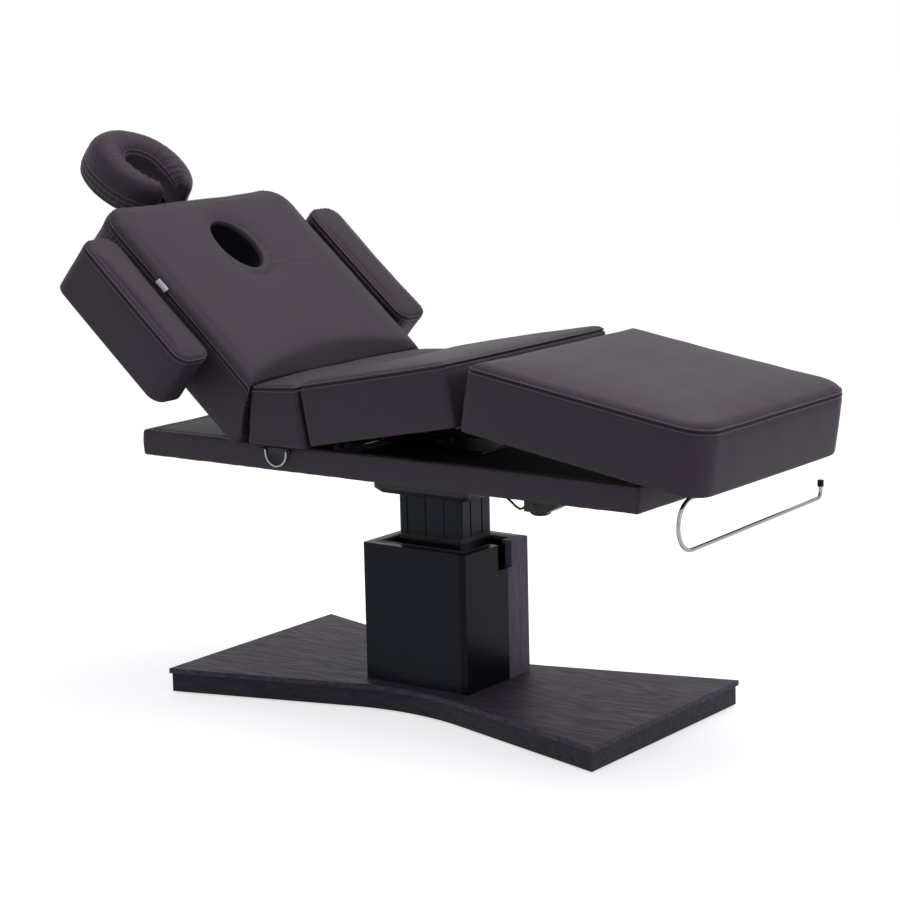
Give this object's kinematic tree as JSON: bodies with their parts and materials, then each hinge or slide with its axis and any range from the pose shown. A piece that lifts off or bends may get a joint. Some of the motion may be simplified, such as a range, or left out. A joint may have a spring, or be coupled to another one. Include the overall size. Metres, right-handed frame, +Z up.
{
  "type": "electric spa bed",
  "caption": "Motorised spa treatment bed: bow-tie base, boxed lifting column, padded frame, folding back, seat and leg cushions, armrests, horseshoe headrest and paper-roll holder.",
  "frame": {"origin": "on the floor under the middle of the lifting column", "axes": "+X towards the foot end, +Y towards the far side (left of someone lying on the back), +Z up"},
  "size_m": [1.9238, 0.9134, 1.3003],
  "materials": {
    "vinyl": "satin",
    "veneer": "satin",
    "gloss_board": "gloss",
    "plywood": "matte",
    "column": "satin",
    "black_steel": "satin",
    "chrome": "polished",
    "black_plastic": "matte",
    "black_rubber": "matte"
  },
  "bodies": {
    "base": {"base_core": "veneer", "base_top_panel": "veneer", "base_glide_head": "black_rubber", "base_glide_middle": "black_rubber", "base_glide_foot": "black_rubber", "cover_near": "gloss_board", "cover_far": "gloss_board", "cover_head": "gloss_board", "cover_door": "gloss_board", "cover_strip": "veneer", "cover_rim": "veneer", "column_lower": "column", "lift_motor": "black_steel"},
    "middle_stage": {"column_middle": "column"},
    "frame": {"column_upper": "column", "lift_nut_tube": "black_steel", "column_guide": "black_plastic", "column_tray": "black_steel", "rail_near": "black_steel", "rail_far": "black_steel", "cross_tube_head": "black_steel", "cross_tube_column": "black_steel", "cross_tube_motor": "black_steel", "cross_tube_foot": "black_steel", "side_panel_near": "vinyl", "side_panel_far": "vinyl", "end_panel_head": "vinyl", "end_panel_foot": "vinyl", "head_deck": "vinyl", "leg_rest_strip": "black_plastic", "lumbar_cushion": "vinyl", "back_actuator": "black_plastic", "seat_actuator": "black_plastic", "motor_cable": "black_rubber", "hook_plate": "chrome"},
    "back": {"back_cushion": "vinyl", "back_board": "plywood", "back_fold": "vinyl", "back_hinge_shaft": "black_steel", "headrest_socket": "black_steel"},
    "headrest_carrier": {"headrest_rods": "chrome"},
    "headrest": {"headrest_cushion": "vinyl", "headrest_board": "plywood"},
    "armrest_near": {"armrest_near_cushion": "vinyl", "armrest_near_bracket": "black_steel"},
    "armrest_far": {"armrest_far_cushion": "vinyl", "armrest_far_bracket": "black_steel"},
    "seat": {"seat_cushion": "vinyl", "seat_board": "plywood", "seat_hinge_shaft": "black_steel", "knee_leaf_seat": "black_steel"},
    "leg": {"leg_cushion": "vinyl", "leg_board": "plywood", "knee_leaf_leg": "black_steel", "paper_holder_rod": "chrome", "paper_holder_cap": "black_rubber", "paper_holder_socket": "black_steel"},
    "back_rod": {"back_actuator_rod": "chrome"},
    "seat_rod": {"seat_actuator_rod": "chrome"},
    "hook": {"hook_loop": "chrome"}
  },
  "joints": [
    {"name": "lift", "type": "slide", "parent": "base", "child": "frame", "axis": [0, 0, 1], "range_m": [-0.1, 0.15]},
    {"name": "lift_middle", "type": "slide", "parent": "base", "child": "middle_stage", "axis": [0, 0, 1], "range_m": [-0.0505, 0.0755]},
    {"name": "back_hinge", "type": "hinge", "parent": "frame", "child": "back", "pos_m": [-0.3716, 0, 0.616], "axis": [0, 1, 0], "range_deg": [-41, 19], "deforming": ["back_fold"]},
    {"name": "seat_hinge", "type": "hinge", "parent": "frame", "child": "seat", "pos_m": [-0.133, 0, 0.619], "axis": [0, -1, 0], "range_deg": [-10.8, 1]},
    {"name": "knee_hinge", "type": "hinge", "parent": "seat", "child": "leg", "pos_m": [0.2717, 0, 0.6962], "axis": [0, 1, 0], "range_deg": [-20, 2]},
    {"name": "back_rod_slide", "type": "slide", "parent": "frame", "child": "back_rod", "axis": [-1, 0, 0], "range_m": [-0.046, 0.0215]},
    {"name": "seat_rod_slide", "type": "slide", "parent": "frame", "child": "seat_rod", "axis": [1, 0, 0], "range_m": [-0.0122, 0.0013]},
    {"name": "headrest_slide", "type": "slide", "parent": "back", "child": "headrest_carrier", "axis": [-0.7547, 0, 0.6561], "range_m": [0, 0.1]},
    {"name": "headrest_tilt", "type": "hinge", "parent": "headrest_carrier", "child": "headrest", "pos_m": [-0.86353, 0, 1.03171], "axis": [0, 1, 0], "range_deg": [-25, 4]},
    {"name": "armrest_near_slide", "type": "slide", "parent": "back", "child": "armrest_near", "axis": [0, -1, 0], "range_m": [0, 0.08]},
    {"name": "armrest_far_slide", "type": "slide", "parent": "back", "child": "armrest_far", "axis": [0, 1, 0], "range_m": [0, 0.08]},
    {"name": "hook_swing", "type": "hinge", "parent": "frame", "child": "hook", "pos_m": [-0.242, -0.3058, 0.616], "axis": [-1, 0, 0], "range_deg": [0, 95]}
  ],
  "couplings": [
    {"joint": "lift_middle", "follows": "lift", "ratio": 0.5},
    {"joint": "knee_hinge", "follows": "seat_hinge", "ratio": 1.8426},
    {"joint": "back_rod_slide", "follows": "back_hinge", "m_per_rad": 0.064},
    {"joint": "seat_rod_slide", "follows": "seat_hinge", "m_per_rad": 0.0635}
  ]
}
